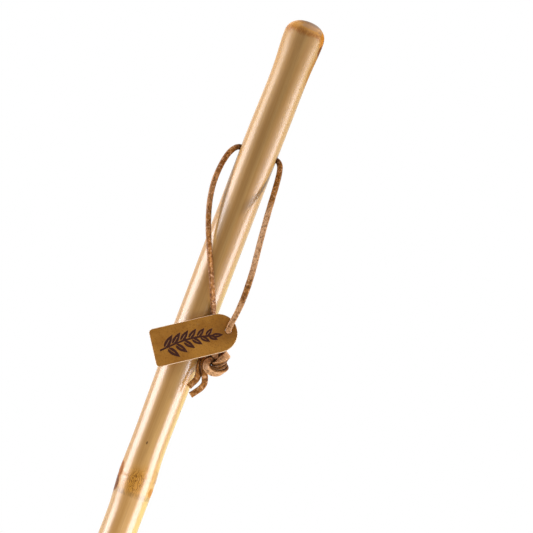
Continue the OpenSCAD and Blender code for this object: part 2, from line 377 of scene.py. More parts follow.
# Lace
def spline(rows, before=None, after=None):
    """Close rows on a smooth curve through the given rows. The rows before and after steer its ends."""
    rows = np.array(rows, float)
    before = 2 * rows[0] - rows[1] if before is None else before
    after = 2 * rows[-1] - rows[-2] if after is None else after
    full = np.vstack([before, rows, after])
    chords = np.linalg.norm(np.diff(full[:, :3], axis=0), axis=1)
    times = np.sqrt(chords)[:, None]
    rates = np.diff(full, axis=0) / times
    slopes = (rates[:-1] * times[1:] + rates[1:] * times[:-1]) / (times[:-1] + times[1:])
    found = []
    for i in range(len(rows) - 1):
        steps = max(2, round(chords[i + 1] / LACE_STEP))
        s = np.linspace(0, 1, steps, endpoint=False)[:, None]
        span = times[i + 1]
        found.append((1 + 2 * s) * (1 - s) ** 2 * rows[i] + s * (1 - s) ** 2 * span * slopes[i]
                     + s * s * (3 - 2 * s) * rows[i + 1] + s * s * (s - 1) * span * slopes[i + 1])
    return np.vstack(found + [rows[-1:]])


def turned_across(ahead, turns):
    """Directions across the flat of a lace, turned out of the depth by angles in degrees."""
    depth = unit(BACK - ahead * ahead[:, 1:2])
    turns = np.radians(turns)[:, None]
    return np.cos(turns) * depth + np.sin(turns) * np.cross(ahead, depth)


def turn_of(ahead, across):
    """The turn in degrees, from -90 to 90, of a lace whose flat lies along a direction."""
    depth = unit(BACK - ahead * ahead[1])
    turn = math.degrees(math.atan2(across @ np.cross(ahead, depth), across @ depth))
    return (turn + 90) % 180 - 90


def waves(path, rate, seed):
    """Smooth noise along a path."""
    return np.array([noise.noise(Vector(place * rate + seed)) for place in path])


def lace_rings(path, ahead, across, squeeze, seed, plump=0.0, bunch=0.0):
    """Rings of a flat lace around a path. A tight knot makes it plump, and a small hole bunches it up."""
    width = LACE_W + (TIGHT_W - LACE_W) * squeeze + KNOT_PLUMP * plump
    thick = LACE_T + (TIGHT_T - LACE_T) * squeeze
    width = width * (1 + LACE_UNEVEN * waves(path, WIDTH_RATE, seed * WIDTH_SEED))
    thick = thick * (1 + LACE_UNEVEN * waves(path, THICK_RATE, seed * THICK_SEED))
    bunch = np.broadcast_to(bunch, len(path))
    width = width + (BUNCH_W - width) * bunch
    thick = thick + (BUNCH_W - thick) * bunch
    power = 2 / (LACE_POWER + (BUNCH_POWER - LACE_POWER) * bunch[:, None])
    around = circle(LACE_SIDES)
    wide = np.sign(np.cos(around)) * np.abs(np.cos(around)) ** power
    high = np.sign(np.sin(around)) * np.abs(np.sin(around)) ** power
    through = np.cross(across, ahead)
    return (path[:, None] + across[:, None] * (wide * width[:, None] / 2)[:, :, None]
            + through[:, None] * (high * thick[:, None] / 2)[:, :, None])


def painted_crowd_shade(strands):
    """Painted shade for the vertices of each strand, from 0 to 1, by how close they lie to another turn of
    the lace or to the cane.
    """
    middles = np.vstack([rings.mean(1) for rings in strands])
    strand_of = np.concatenate([np.full(len(rings), k) for k, rings in enumerate(strands)])
    place_of = np.concatenate([np.arange(len(rings)) for rings in strands])
    found = []
    for k, rings in enumerate(strands):
        close = []
        for i, ring in enumerate(rings):
            others = middles[(strand_of != k) | (np.abs(place_of - i) > TURN_APART)]
            away = np.linalg.norm(ring[:, None] - others, axis=2).min(1)
            off_cane = np.hypot(ring[:, 0], ring[:, 1]) - CANE_R
            # painted shade where the leather lies close to the cane
            cane_shade = CANE_SHADE_SHARE * smooth(CANE_FAR, CANE_NEAR, off_cane)
            close.append(np.maximum(smooth(TURN_FAR, TURN_NEAR, away), cane_shade))
        found.append(np.concatenate(close))
    return found


def swept(name, strands, flesh=0.0, rubbed=0.0):
    """One mesh of the rings of one or more strands of lace. One face of the lace shows a share of its flesh
    side, and a share of it is rubbed pale all around."""
    around = circle(LACE_SIDES)
    edge = np.abs(np.cos(around))
    flesh_face = flesh * smooth(*FLESH_FACE, np.sin(around))
    vertices = []
    faces = []
    marks = {"edge": [], "flesh": [], "painted_shade": []}
    for rings, painted_shade in zip(strands, painted_crowd_shade(strands)):
        first = sum(len(part) for part in vertices)
        caps = [rings[0].mean(0), rings[-1].mean(0)]
        vertices.append(np.vstack([rings.reshape(-1, 3), caps]))
        faces += [tuple(first + i for i in face) for face in tube_faces(len(rings), LACE_SIDES)]
        pale = np.maximum(flesh_face, np.broadcast_to(rubbed, len(rings))[:, None])
        marks["edge"] += [np.tile(edge, len(rings)), CAP_EDGES]
        marks["flesh"] += [pale.ravel(), CAP_NONE]
        marks["painted_shade"] += [painted_shade, CAP_NONE]
    piece = new_piece(name, np.vstack(vertices) + BORE, faces)
    for mark, values in marks.items():
        set_attribute(piece, mark, np.concatenate(values))
    piece.data.set_sharp_from_angle(angle=LACE_SHARP)
    return piece


def knot_line(turn):
    """The middle of the two strands of the knot, and the direction out of its winding."""
    start = np.clip(1 - turn / KNOT_END_TURN, 0, None) ** 2
    end = np.clip(1 - (KNOT_TURN - turn) / KNOT_END_TURN, 0, None) ** 2
    around = np.radians(KNOT_ROUNDS * turn + KNOT_START)
    wind = np.radians(KNOT_WINDS * turn)
    out = KNOT_RING_R + KNOT_WIND_R * np.cos(wind)
    depth = KNOT_WIND_D * np.sin(wind) + KNOT_END_PART * (start - end)
    middle = np.stack([out * np.cos(around), depth, out * np.sin(around)], -1)
    outward = np.stack([np.cos(wind) * np.cos(around), np.sin(wind), np.cos(wind) * np.sin(around)], -1)
    tilt = np.array(Matrix.Rotation(KNOT_TILT, 3, Vector(KNOT_TILT_AXIS)))
    return KNOT_AT + middle @ tilt.T, outward @ tilt.T


def knot_strand(side):
    """The path of one strand of the knot, with its headings and the directions across its flat."""
    middle, outward = knot_line(np.linspace(0, KNOT_TURN, KNOT_STEPS))
    ahead = unit(np.gradient(middle, axis=0))
    through = unit(outward - ahead * (ahead * outward).sum(1, keepdims=True))
    path = middle + side * (KNOT_T + STRAND_GAP) / 2 * through
    return path, ahead, np.cross(ahead, through)


def leg(name, way, route, side, seed, worn):
    """A leg of the lace, from the middle of the bore to the start of its strand of the knot."""
    path, ahead, across = knot_strand(side)
    start = (*path[0], turn_of(ahead[0], across[0]), 1)
    turn = BORE_TURN if way == LEFTWARD else 180 - BORE_TURN
    in_bore = [(way * out, 0, 0, turn, 0) for out in BORE_PLACES]
    rows = spline([*in_bore, *route, start], after=np.array((*path[KNOT_LEAD], start[3], 1)))
    line = rows[:, :3]
    ahead = unit(np.gradient(line, axis=0))
    from_hole = np.linalg.norm(line + BORE - TAG_HOLE, axis=1)
    bunch = np.exp(-((from_hole / BUNCH_REACH) ** BUNCH_FALL))
    rings = lace_rings(line, ahead, turned_across(ahead, rows[:, 3]), rows[:, 4], seed, bunch=bunch)
    drop = -line[:, 2]
    rubbed = 0
    for low, high, share in worn:
        begins = smooth(low - WORN_BLEND, low + WORN_BLEND, drop)
        rubbed = rubbed + share * begins * smooth(high + WORN_BLEND, high - WORN_BLEND, drop)
    return swept(name, [rings], rubbed=rubbed), (line + BORE) * MM


def strand_with_tail(side, route, seed):
    """Rings of one strand of the knot and of the tail that comes out of it."""
    path, ahead, across = knot_strand(side)
    end = (*path[-1], turn_of(ahead[-1], across[-1]), 1)
    rows = spline([end, *route], before=np.array((*path[-KNOT_LEAD], end[3], 1)))[1:]
    tail_ahead = unit(np.gradient(np.vstack([path[-1:], rows[:, :3]]), axis=0))[1:]
    tail_across = turned_across(tail_ahead, rows[:, 3])
    if tail_across[0] @ across[-1] < 0:
        tail_across = -tail_across
    squeeze = np.concatenate([np.ones(len(path)), rows[:, 4]])
    plump = squeeze * smooth(0, PLUMP_RINGS, np.arange(len(squeeze)))
    return lace_rings(np.vstack([path, rows[:, :3]]), np.vstack([ahead, tail_ahead]),
                      np.vstack([across, tail_across]), squeeze, seed, plump)


def make_lace():
    """The lace: two legs, and the knot with its two tails. Each of the four has its own seed."""
    left, left_line = leg("lace_left", LEFTWARD, LEFT_ROUTE, OUTER, 1, LEFT_WORN)
    right, right_line = leg("lace_right", RIGHTWARD, RIGHT_ROUTE, INNER, 2, RIGHT_WORN)
    strands = [strand_with_tail(OUTER, SHORT_TAIL_ROUTE, 3), strand_with_tail(INNER, LONG_TAIL_ROUTE, 4)]
    knot = swept("lace_tie", strands, KNOT_FLESH_SHARE)
    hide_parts("lace_left_leg", "lace_bore_run")
    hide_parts("lace_right_leg")
    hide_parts("lace_knot", "lace_short_tail", "lace_long_tail")
    for piece in (left, right, knot):
        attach(piece, "strap")
        piece.data.materials.append(lace_leather())
    return left, left_line, right, right_line, knot


# Cane
def joint_form(away, rise, spread):
    """How a joint swells and draws in the cane, by the distance from it."""
    dip = np.where(np.abs(away) < WAIST_REACH, (1 + np.cos(np.pi * away / WAIST_REACH)) / 2, 0)
    return (rise + WAIST_IN) * np.exp(-((away / spread) ** 2)) - WAIST_IN * dip


def cane_radius(z):
    """The radius of the cane at a height."""
    taper = (z - TIP_H) / (BORE[2] - TIP_H)
    found = CANE_FOOT_R + (CANE_R - CANE_FOOT_R) * taper + joint_form(z - FLARE_Z, FLARE_OUT, FLARE_L)
    for joint in JOINTS_Z:
        found = found + joint_form(z - joint, RIDGE_OUT, RIDGE_L)
    return found


def joint_detail(z):
    """The scar and the lip of the joints, which are finer than the cane's outline."""
    found = 0 * z
    for joint in JOINTS_Z:
        above = z - joint
        found = found - SCAR_IN * np.exp(-((above / SCAR_W) ** 2))
        found = found + LIP_OUT * np.exp(-(((above - LIP_RISE) / LIP_W) ** 2))
    return found


def cane_heights():
    """Heights of the rows of the cane, closer together at its joints."""
    z = TIP_H + SEAT_OVER + TAPER_L
    found = []
    while z < CROWN_Z:
        found.append(z)
        away = min(abs(z - joint) for joint in (*JOINTS_Z, FLARE_Z))
        z += next((step for reach, step in FINE_STEPS if away < reach), PLAIN_STEP)
    return np.array(found)


def cane_sway(z):
    """How far the middle of the cane lies off a straight line. Each length between joints has its own."""
    found = np.tile(np.array(SWAYS[0]), (len(z), 1))
    for joint, low, high in zip(JOINTS_Z, SWAYS[:-1], SWAYS[1:]):
        bend = joint - SWAY_DROP
        found = found + smooth(bend - SWAY_L, bend + SWAY_L, z)[:, None] * (np.array(high) - np.array(low))
    found[:, 0] += TOP_SWAY * smooth(*TOP_SWAY_Z, z)
    return found


def cane_wobble(zs, around):
    """Small uneven swells all over the cane."""
    ring = [(WOBBLE_RATE * math.cos(a), WOBBLE_RATE * math.sin(a)) for a in around]
    return np.array([[noise.noise(Vector((x, y, z / WOBBLE_L))) for x, y in ring] for z in zs])


def cane_profile():
    """Radii and heights of the rows of the cane, from its turned foot to its crown."""
    heights = cane_heights()
    turn = np.linspace(0, math.pi / 2, CROWN_STEPS, endpoint=False)
    foot = [(SEAT_R - FOOT_BEVEL, FOOT_Z), (SEAT_R, FOOT_Z + FOOT_BEVEL), (SEAT_R, TIP_H + SEAT_OVER)]
    crown_r = cane_radius(np.array(CROWN_Z)) * np.cos(turn) ** (2 / CROWN_POWER)
    crown_z = CROWN_Z + CROWN_H * np.sin(turn) ** (2 / CROWN_POWER)
    radii = np.concatenate([[r for r, z in foot], cane_radius(heights) + joint_detail(heights), crown_r])
    return radii, np.concatenate([[z for r, z in foot], heights, crown_z])


def make_cane():
    """The bamboo cane, lathed with the unevenness of a grown stem, and drilled for the lace."""
    radii, zs = cane_profile()
    around = circle(CANE_SIDES)
    free = smooth(TIP_H + SEAT_OVER, TIP_H + SEAT_OVER + WAIST_REACH, zs)[:, None]
    oval = OVAL_SHARE * np.cos(2 * around[None] + zs[:, None] / OVAL_TURN_L)
    rings = radii[:, None] * (1 + oval * free) + WOBBLE * cane_wobble(zs, around) * free
    sway = cane_sway(zs)
    vertices = np.stack([rings * np.cos(around) + sway[:, :1], rings * np.sin(around) + sway[:, 1:],
                         np.tile(zs[:, None], (1, CANE_SIDES))], -1).reshape(-1, 3)
    ends = [[0, 0, FOOT_Z], [0, 0, STAFF_L]]
    cane = new_piece("cane", np.vstack([vertices, ends]), tube_faces(len(zs), CANE_SIDES))
    drill(cane, BORE, (1, 0, 0), BORE_R, DRILL_DEPTHS * CANE_R)
    cane.data.set_sharp_from_angle(angle=CANE_SHARP)
    height = np.array([vertex.co.z for vertex in cane.data.vertices]) / MM
    joints = np.array(JOINTS_Z)
    nearest = np.abs(height[:, None] - joints - MARKS_RISE).argmin(1)
    set_attribute(cane, "above_joint", height - joints[nearest])
    cane.data.materials.clear()
    cane.data.materials.append(varnished_bamboo())
    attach(cane, "staff")
    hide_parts("bamboo_shaft")


# Tag
def tag_half(x):
    """Half of the tag's width at a place along it, in from the round end's middle and the square end."""
    half = TAG_W / 2
    square_x = TAG_HOLE_IN - TAG_L
    round_x = TAG_HOLE_IN - half
    in_round = np.clip(x - round_x, 0, half)
    in_corner = np.clip(square_x + TAG_CORNER_R - x, 0, TAG_CORNER_R)
    rounded = np.sqrt(np.clip(half ** 2 - in_round ** 2, 0, None))
    cornered = half - TAG_CORNER_R + np.sqrt(np.clip(TAG_CORNER_R ** 2 - in_corner ** 2, 0, None))
    return np.where(x > round_x, rounded, cornered)


def leaf(x, y, root, angle, length, width):
    """1 inside a pointed leaf that grows from a root, 0 outside, with a soft edge and a bare midrib."""
    along = (x - root[0]) * math.cos(angle) + (y - root[1]) * math.sin(angle)
    beside = (y - root[1]) * math.cos(angle) - (x - root[0]) * math.sin(angle)
    share = np.clip(along / length, 0, 1)
    half = width / 2 * np.sin(np.pi * share ** LEAF_POINT_POWER) ** LEAF_ROUND_POWER
    inside = smooth(*LEAF_EDGE, half - np.abs(beside)) * (along > 0) * (along < length)
    beside_rib = smooth(*MIDRIB_HALF, np.abs(beside)) * smooth(*MIDRIB_START_SHARES, share)
    return inside * np.clip(beside_rib + smooth(*MIDRIB_END_SHARES, share), 0, 1)


def stem(x):
    """The height of the sprig's stem at a place along the tag."""
    return STEM_WAVE_H * np.sin((x - STEM_WAVE_START) / STEM_WAVE_L * math.pi) - STEM_DROP


def stamp(x, y):
    """Where the tag is stamped: a plain sprig of leaves on a curved stem."""
    found = smooth(*STEM_EDGE, np.abs(y - stem(x))) * (x > STEM_ENDS[0]) * (x < STEM_ENDS[1])
    for k in range(LEAF_PAIRS):
        root_x = LEAF_FIRST + LEAF_APART * k
        length = LEAF_L - LEAF_L_LOSS * k
        width = LEAF_W - LEAF_W_LOSS * k
        turn = math.radians(LEAF_TURN - LEAF_TURN_LOSS * k)
        lower = leaf(x, y, (root_x + LEAF_STAGGER, stem(root_x)), -turn, length, width)
        upper = leaf(x, y, (root_x, stem(root_x)), turn, length, width)
        found = np.maximum(found, np.maximum(lower, upper))
    end_root = (END_LEAF_AT, stem(END_LEAF_AT))
    return np.maximum(found, leaf(x, y, end_root, END_LEAF_TURN, END_LEAF_L, END_LEAF_W))


def sheet_faces(columns, rows):
    """Quads of a front grid and a back grid, and of the rim between them."""
    size = (columns + 1) * (rows + 1)
    faces = []
    for i in range(columns):
        for k in range(rows):
            a = i * (rows + 1) + k
            b = a + rows + 1
            faces.append((a, b, b + 1, a + 1))
            faces.append((size + a, size + a + 1, size + b + 1, size + b))
    rim = [i * (rows + 1) for i in range(columns + 1)]
    rim += [columns * (rows + 1) + k for k in range(1, rows + 1)]
    rim += [i * (rows + 1) + rows for i in range(columns - 1, -1, -1)]
    rim += list(range(rows - 1, 0, -1))
    for a, b in zip(rim, rim[1:] + rim[:1]):
        faces.append((a, size + a, size + b, b))
    return faces


def make_tag():
    """The leather tag, with a stamped sprig on its face."""
    square_x = TAG_HOLE_IN - TAG_L
    columns = int(TAG_L / TAG_GRID)
    rows = int(TAG_W / TAG_GRID)
    crowded = (1 - np.cos(np.linspace(0, math.pi, columns + 1))) / 2
    even = np.linspace(0, 1, columns + 1)
    xs = square_x + TAG_L * (TAG_CROWD_SHARE * crowded + (1 - TAG_CROWD_SHARE) * even)
    halves = tag_half(xs)[:, None]
    x = np.repeat(xs[:, None], rows + 1, 1)
    y = halves * np.linspace(-1, 1, rows + 1)
    inset = np.minimum(halves - np.abs(y), np.minimum(x - square_x, TAG_HOLE_IN - x))
    inset = np.clip(inset, 0, TAG_EDGE_R)
    round_off = TAG_EDGE_R - np.sqrt(np.clip(TAG_EDGE_R ** 2 - (TAG_EDGE_R - inset) ** 2, 0, None))
    stamped = stamp(x, y)
    front = np.stack([x, y, TAG_T / 2 - round_off - STAMP_DEPTH * stamped], -1).reshape(-1, 3)
    back = np.stack([x, y, -TAG_T / 2 + round_off], -1).reshape(-1, 3)
    along = np.array([math.cos(TAG_SLOPE), 0, math.sin(TAG_SLOPE)])
    axes = np.stack([along, np.cross(TAG_NORMAL, along), TAG_NORMAL])
    tag = new_piece("tag", np.vstack([front, back]) @ axes + TAG_HOLE, sheet_faces(columns, rows))
    rim_share = smooth(TAG_EDGE_R, 0, inset).ravel()
    set_attribute(tag, "stamped", np.concatenate([stamped.ravel(), 0 * stamped.ravel()]))
    set_attribute(tag, "rim", np.concatenate([rim_share, rim_share]))
    drill(tag, TAG_HOLE, TAG_NORMAL, TAG_HOLE_R, DRILL_DEPTHS * TAG_T)
    tag.data.set_sharp_from_angle(angle=TAG_SHARP)
    tag.data.materials.clear()
    tag.data.materials.append(tag_leather())
    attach(tag, "tag")
    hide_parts("leather_tag")
    return tag


# Materials
def srgb(red, green, blue):
    """A colour as the shader takes it, from 0 to 255 numbers as a screen shows it."""
    parts = [c / 255 for c in (red, green, blue)]
    return tuple(c / 12.92 if c <= 0.04045 else ((c + 0.055) / 1.055) ** 2.4 for c in parts) + (1.0,)


class Surface:
    """A material written as nested calls: each call adds a node and returns its output."""

    def __init__(self, name):
        self.material = bpy.data.materials.new(name)
        self.material.use_nodes = True
        self.tree = self.material.node_tree
        self.shader = self.tree.nodes["Principled BSDF"]

    def feed(self, socket, value):
        if isinstance(value, bpy.types.NodeSocket):
            self.tree.links.new(value, socket)
        else:
            socket.default_value = value

    def add(self, kind, inputs, output=0, **settings):
        made = self.tree.nodes.new(kind)
        for name, value in settings.items():
            setattr(made, name, value)
        for socket, value in inputs.items():
            self.feed(made.inputs[socket], value)
        return made.outputs[output]

    def place(self, scale=(1, 1, 1), move=(0, 0, 0)):
        found = self.add("ShaderNodeTexCoord", {}, "Object")
        return self.add("ShaderNodeMapping", {"Vector": found, "Scale": scale, "Location": move})

    def split(self):
        """The place on the piece as x, y and z in millimetres."""
        parts = self.tree.nodes.new("ShaderNodeSeparateXYZ")
        self.feed(parts.inputs[0], self.place([1 / MM] * 3))
        return parts.outputs

    def number(self, name):
        return self.add("ShaderNodeAttribute", {}, "Fac", attribute_name=name)

    def noise(self, size, detail, stretch=(1, 1, 1), rough=0.55):
        """Noise whose features are about size millimetres wide."""
        inputs = {"Vector": self.place(stretch), "Scale": 1 / (size * MM), "Detail": detail,
                  "Roughness": rough}
        return self.add("ShaderNodeTexNoise", inputs)

    def ripple(self, apart, wander, stretch):
        """Wavy upright lines that lie apart millimetres from each other."""
        crests = math.tau / 20
        inputs = {"Vector": self.place(stretch), "Scale": crests / (apart * MM), "Distortion": wander,
                  "Detail": 3.0, "Detail Scale": 1.6}
        return self.add("ShaderNodeTexWave", inputs, "Fac")

    def spot(self, centre, sizes, core=0.35):
        """1 in the core of an ellipsoid with half sizes in millimetres, falling to 0 at its surface."""
        scale = [1 / (size * MM) for size in sizes]
        move = [-at * MM * part for at, part in zip(centre, scale)]
        away = self.add("ShaderNodeVectorMath", {0: self.place(scale, move)}, "Value", operation="LENGTH")
        return self.fall(away, core, 1.0)

    def math(self, operation, a, b=0.0, clamp=False):
        return self.add("ShaderNodeMath", {0: a, 1: b}, operation=operation, use_clamp=clamp)

    def times(self, a, b):
        return self.math("MULTIPLY", a, b)

    def larger(self, a, b):
        return self.math("MAXIMUM", a, b)

    def step(self, value, low, high, to_low=0.0, to_high=1.0):
        inputs = {"Value": value, "From Min": low, "From Max": high, "To Min": to_low, "To Max": to_high}
        return self.add("ShaderNodeMapRange", inputs, interpolation_type="SMOOTHSTEP")

    def fall(self, value, low, high, level=1.0):
        return self.step(value, low, high, to_low=level, to_high=0.0)

    def between(self, value, low, full_low, full_high, high):
        """A band that is full between its two inner limits."""
        return self.times(self.step(value, low, full_low), self.fall(value, full_high, high))

    def mix(self, factor, a, b):
        return self.add("ShaderNodeMix", {0: factor, 6: a, 7: b}, 2, data_type="RGBA")

    def bump(self, height, depth, strength, under=None):
        inputs = {"Height": height, "Distance": depth * MM, "Strength": strength}
        if under is not None:
            inputs["Normal"] = under
        return self.add("ShaderNodeBump", inputs)

    def finish(self, **sockets):
        for name, value in sockets.items():
            self.feed(self.shader.inputs[name.replace("_", " ")], value)
        return self.material


# Bamboo: widths of its marks, how far they are drawn out upwards, and its colours
FIBRE_W = 1.1
FIBRE_STRETCH = (1, 1, 0.02)
STRIPE_W = 5
STRIPE_STRETCH = (1, 1, 0.012)
CLOUD_W = 70
PATCH_W = 8
HAIR_W = 0.8
HAIR_STRETCH = (1, 1, 0.16)
LINE_APART = 1.6
LINE_WANDER = 16.0
LINE_STRETCH = (1, 1, 0.6)
FIBRE_RELIEF = 0.05
CANE_DEEP = srgb(180, 133, 73)
CANE_PALE = srgb(198, 155, 94)
CANE_FIBRE = srgb(160, 112, 56)
CANE_CLOUD = srgb(200, 150, 86)
CANE_BROWN = srgb(180, 138, 92)
CANE_PAINTED_LIGHT = srgb(220, 186, 102)
JOINT_TOAST = srgb(200, 142, 56)
JOINT_BURNT = srgb(190, 128, 30)
JOINT_LINES = srgb(104, 62, 8)
JOINT_FOOT = srgb(104, 78, 46)
CROWN_TOAST = srgb(204, 144, 70)
CROWN_RIM = srgb(150, 90, 34)
BORE_MOUTH_DARK = srgb(96, 60, 26)
SPECK = srgb(92, 60, 28)
# The cane turns brown below the crown, and its right side gets a golden painted light, most in the middle
# of its length
BROWN_REACH = 45
PAINTED_LIGHT_X = (9.8, 13.2)
PAINTED_LIGHT_TOP_Z = (1140, 1260)
PAINTED_LIGHT_FOOT_Z = (780, 980)
# The burnt band lies a little below the middle of a joint's ridge. Bands are given by where they begin,
# are full, begin to fade and end.
BURN_DROP = 5.0
BURN_Z = JOINTS_Z[-1] - BURN_DROP
BURN_BAND = (-9, -4, 8, 22)
FOOT_BAND = (-9, -7, -6, -3)
FRONT_BURN_AT = (0.5, -13, BURN_Z + 4)
FRONT_BURN_SIZES = (10, 9, 13)
CROWN_BLEND = 3
CROWN_WANDER = 8
RIM_BAND = (CROWN_Z - 1, CROWN_Z + 2, CROWN_Z + 3, CROWN_Z + 7)
# Burns on the cane, and on the crown also painted light, as a middle, half sizes, a strength and a colour
# from 0 to 255, and how soft they are
JOINT_BURNS = (
    ((-13.2, -4, BURN_Z + 7), (5, 12, 12), 0.95, (152, 84, 12)),
    ((-13.2, -4, BURN_Z - 3), (5, 12, 10), 0.95, (106, 54, 8)),
    ((14.2, -5, BURN_Z - 1), (3.8, 7, 5.5), 0.9, (190, 124, 36)))
CROWN_BURNS_AND_PAINTED_LIGHT = (
    # The first four paint the crown's light: a darker painted shade over its top, a grey painted reflection
    # at its right, a pale painted highlight streak, and a grey-brown painted shade at its upper right edge.
    # The last three are real burns below the crown.
    ((1, -6, STAFF_L + 1), (18, 16, 7), 0.7, (160, 116, 72)),
    ((6, -3, STAFF_L + 1), (17, 15, 8), 0.85, (134, 106, 84)),
    ((3.5, -10.8, STAFF_L - 4.2), (11, 5, 3.4), 0.5, (166, 138, 118)),
    ((10, -6, STAFF_L - 6), (4, 6, 3), 0.7, (150, 118, 94)),
    ((15.4, -3, CROWN_Z - 22), (3.6, 10, 24), 0.8, (166, 112, 44)),
    ((14.8, -3, CROWN_Z + 2), (5, 10, 11), 0.9, (192, 122, 36)),
    ((16, -2, CROWN_Z - 6), (3.8, 10, 7), 0.95, (116, 62, 4)))
BURN_CORE = 0.3
JOINT_BURN_EDGE = (0.3, 0.75)
CROWN_BURN_AND_LIGHT_EDGE = (0.2, 0.8)
SPECK_AT = (-1.3, -14, 1070)
SPECK_SIZES = (0.7, 3, 1.6)
# The varnish is thin on the burns, on the crown's painted light, and towards the crown
THIN_VARNISH_Z = (CROWN_Z - 40, CROWN_Z - 19)
CROWN_VARNISH = 0.5
BURN_AND_PAINTED_VARNISH_LOSS = 0.85


def bamboo_ground(made, fibre, side):
    """Bamboo in upright stripes with fine fibres, browner below the crown, with a golden painted light on
    its right side.
    """
    stripe = made.noise(STRIPE_W, 3, STRIPE_STRETCH)
    cloud = made.noise(CLOUD_W, 2)
    colour = made.mix(made.step(stripe, 0.3, 0.7), CANE_DEEP, CANE_PALE)
    colour = made.mix(made.step(fibre, 0.35, 0.75, to_high=0.35), colour, CANE_FIBRE)
    colour = made.mix(made.step(cloud, 0.4, 0.75, to_high=0.3), colour, CANE_CLOUD)
    near_crown = made.step(side[2], CROWN_Z - BROWN_REACH, CROWN_Z, to_high=0.25)
    colour = made.mix(near_crown, colour, CANE_BROWN)
    # painted light: the right side is painted golden, as if lit by the lamp on that side
    golden = made.times(made.step(side[0], *PAINTED_LIGHT_X), made.step(side[2], *PAINTED_LIGHT_TOP_Z, 0.9, 0.1))
    golden = made.times(golden, made.step(side[2], *PAINTED_LIGHT_FOOT_Z, to_low=0.25))
    return made.mix(golden, colour, CANE_PAINTED_LIGHT)


def toast_joints(made, colour, patch, hair):
    """A mottled golden band at each joint, with dark wavy lines and a thin line at its foot."""
    above = made.math("ADD", made.number("above_joint"), BURN_DROP)
    ring = made.between(above, *BURN_BAND)
    toast = made.times(ring, made.step(patch, 0.35, 0.65, 0.3, 0.7))
    colour = made.mix(toast, colour, JOINT_TOAST)
    front = made.spot(FRONT_BURN_AT, FRONT_BURN_SIZES)
    burnt = made.times(ring, made.larger(made.step(patch, 0.5, 0.66, to_high=0.6), front))
    colour = made.mix(made.times(burnt, 0.65), colour, JOINT_BURNT)
    lines = made.times(made.step(made.ripple(LINE_APART, LINE_WANDER, LINE_STRETCH), 0.5, 0.9), burnt)
    colour = made.mix(made.times(lines, 0.75), colour, JOINT_LINES)
    foot_line = made.times(made.between(above, *FOOT_BAND), made.step(hair, 0.4, 0.6, 0.1, 0.5))
    return made.mix(foot_line, colour, JOINT_FOOT)


def toast_crown(made, colour, height, patch, hair):
    """A toasted crown, with a darker line where it meets the side."""
    rise = made.math("ADD", height, made.times(made.math("SUBTRACT", patch, 0.5), CROWN_WANDER))
    colour = made.mix(made.step(rise, CROWN_Z, CROWN_Z + CROWN_BLEND, to_high=0.85), colour, CROWN_TOAST)
    rim = made.times(made.between(rise, *RIM_BAND), made.step(hair, 0.35, 0.6, 0.3, 0.8))
    return made.mix(rim, colour, CROWN_RIM)


def add_burns_or_painted_light(made, colour, hair, burns, limits):
    """Burns, or patches of painted light, with ragged edges. Returns the colour, and where they lie."""
    charred_or_painted = 0.0
    ragged = made.math("SUBTRACT", hair, 0.5)
    for centre, sizes, level, shade in burns:
        inside = made.math("ADD", made.spot(centre, sizes, BURN_CORE), ragged)
        burn = made.step(inside, *limits, to_high=level)
        colour = made.mix(burn, colour, srgb(*shade))
        charred_or_painted = made.larger(charred_or_painted, burn)
    return colour, charred_or_painted


def varnished_bamboo():
    """Pale bamboo under a clear varnish, with fine upright fibres and flame-burnt joints, a golden painted
    light on its right side, and painted shade, reflection and highlight on its crown.
    """
    made = Surface("varnished_bamboo")
    side = made.split()
    fibre = made.noise(FIBRE_W, 5, FIBRE_STRETCH)
    patch = made.noise(PATCH_W, 3)
    hair = made.noise(HAIR_W, 3, HAIR_STRETCH)
    colour = bamboo_ground(made, fibre, side)
    colour = toast_joints(made, colour, patch, hair)
    colour, joint_char = add_burns_or_painted_light(made, colour, hair, JOINT_BURNS, JOINT_BURN_EDGE)
    colour = toast_crown(made, colour, side[2], patch, hair)
    colour, crown_char_and_painted_light = add_burns_or_painted_light(made, colour, hair, CROWN_BURNS_AND_PAINTED_LIGHT, CROWN_BURN_AND_LIGHT_EDGE)
    # darker around the mouths of the lace bore
    over_bore = made.math("SUBTRACT", side[2], BORE[2])
    squares = made.math("ADD", made.math("POWER", side[1], 2.0), made.math("POWER", over_bore, 2.0))
    worn = made.fall(made.math("SQRT", squares), BORE_R, 2 * BORE_R, 0.75)
    colour = made.mix(worn, colour, BORE_MOUTH_DARK)
    colour = made.mix(made.spot(SPECK_AT, SPECK_SIZES, 0.5), colour, SPECK)
    lost = made.times(made.larger(joint_char, crown_char_and_painted_light), BURN_AND_PAINTED_VARNISH_LOSS)
    coated = made.step(side[2], *THIN_VARNISH_Z, 1.0, CROWN_VARNISH)
    varnish = made.math("SUBTRACT", coated, lost, clamp=True)
    return made.finish(Base_Color=colour, Roughness=made.step(fibre, 0.3, 0.7, 0.4, 0.52),
                       Specular_IOR_Level=0.1, Coat_Weight=varnish, Coat_Roughness=0.27, Coat_IOR=1.5,
                       Normal=made.bump(fibre, FIBRE_RELIEF, 0.2))


# Lace leather: widths and depths of its marks, and its colours
LACE_SPECK_W = 1.7
LACE_CLOUD_W = 7
LACE_GRAIN_W = 0.6
LACE_SPECK_RELIEF = 0.4
LACE_GRAIN_RELIEF = 0.15
LACE_DEEP = srgb(150, 92, 34)
LACE_TAN = srgb(186, 122, 54)
LACE_FLESH = srgb(238, 182, 130)
LACE_SPECK = srgb(234, 184, 140)
LACE_STAIN = srgb(76, 40, 10)
LACE_EDGE = srgb(104, 60, 18)
LACE_PAINTED_SHADE = srgb(46, 18, 6)


